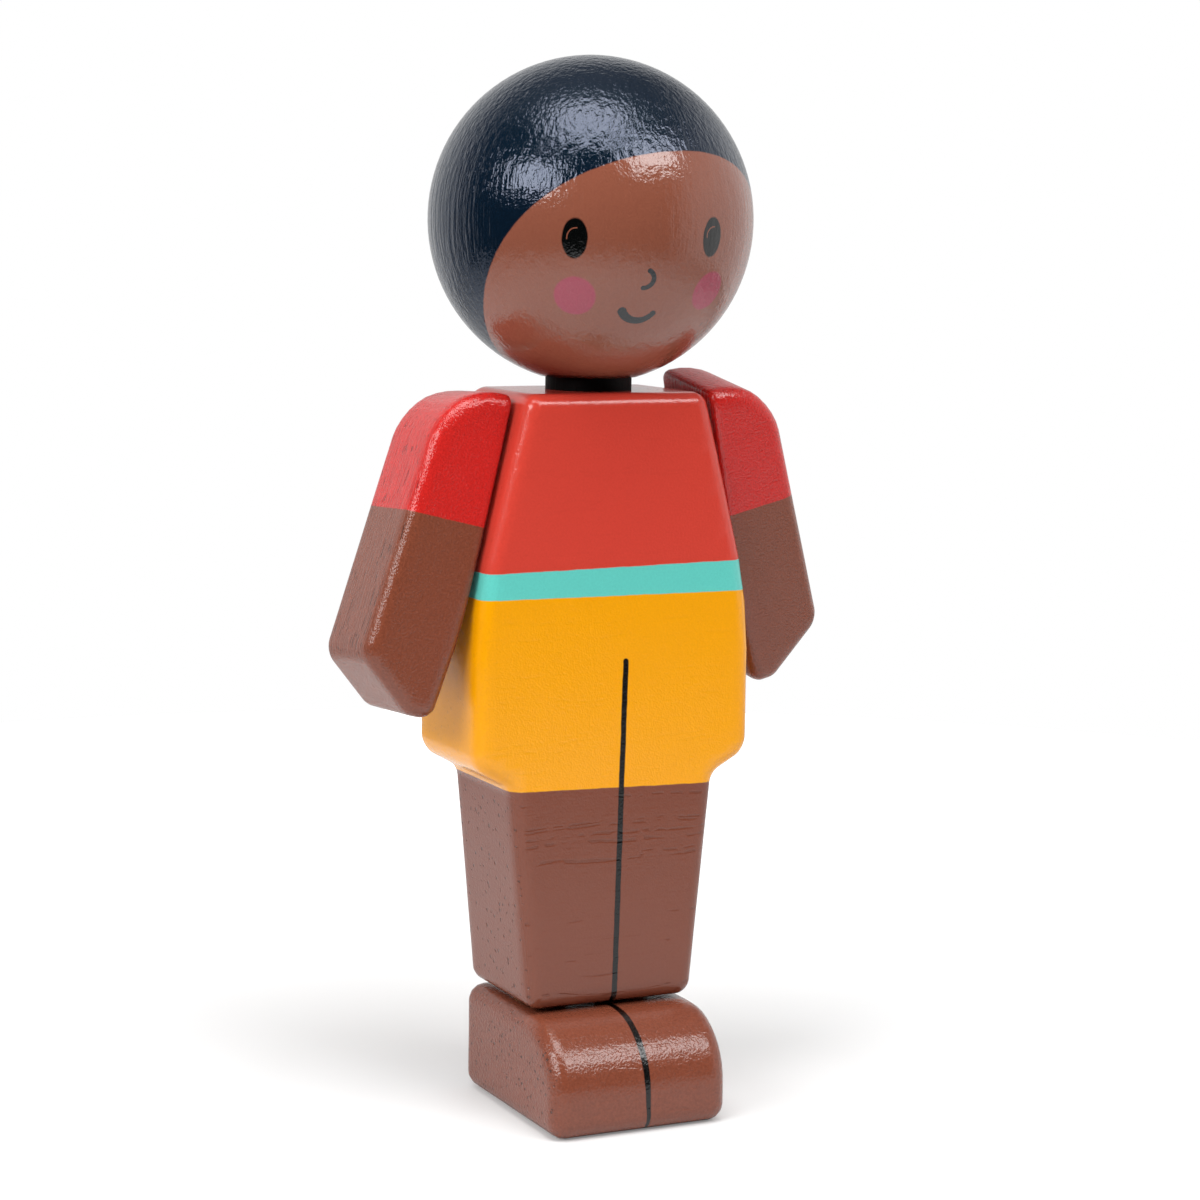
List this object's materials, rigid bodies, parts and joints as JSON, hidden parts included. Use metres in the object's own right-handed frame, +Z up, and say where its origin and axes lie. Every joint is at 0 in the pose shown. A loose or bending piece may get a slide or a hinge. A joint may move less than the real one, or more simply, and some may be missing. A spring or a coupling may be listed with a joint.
{
  "type": "wooden toy figure",
  "caption": "Painted wooden toy figure with a turning ball head, arms that swing on elastic at slanted shoulders, and a flat-bottomed foot block to stand on.",
  "frame": {"origin": "on the ground under the figure, on the head's turning axis", "axes": "+Z up through the head, the figure faces -Y, its left hand is towards +X"},
  "size_m": [0.0484, 0.03, 0.0978],
  "materials": {
    "painted_body": "satin enamel over wood, red above, teal stripe, yellow shorts, brown legs",
    "painted_arm": "satin enamel over wood, red sleeve, brown below",
    "painted_foot": "satin brown enamel over wood",
    "painted_head": "gloss enamel over wood, dark hair cap, brown face",
    "black_peg": "black stained",
    "bare_wood": "unpainted",
    "elastic": "braided elastic"
  },
  "bodies": {
    "body": {"body_block": "painted_body", "foot_block": "painted_foot", "right_foot_dowel": "bare_wood", "left_foot_dowel": "bare_wood", "shoulder_cord": "elastic", "neck_cord": "elastic", "neck_peg": "black_peg"},
    "head": {"head_ball": "painted_head", "head_plug": "bare_wood"},
    "right_arm": {"right_arm": "painted_arm", "right_arm_plug": "bare_wood"},
    "left_arm": {"left_arm": "painted_arm", "left_arm_plug": "bare_wood"}
  },
  "joints": [
    {"name": "head_turn", "type": "hinge", "parent": "body", "child": "head", "pos_m": [0, 0, 0.0728], "axis": [0, 0, 1], "continuous": true},
    {"name": "right_arm_swing", "type": "hinge", "parent": "body", "child": "right_arm", "pos_m": [-0.01171, 0, 0.05809], "axis": [-0.969, 0, 0.2472], "range_deg": [-132, 127]},
    {"name": "left_arm_swing", "type": "hinge", "parent": "body", "child": "left_arm", "pos_m": [0.01171, 0, 0.05809], "axis": [-0.969, 0, -0.2472], "range_deg": [-119, 140]}
  ]
}
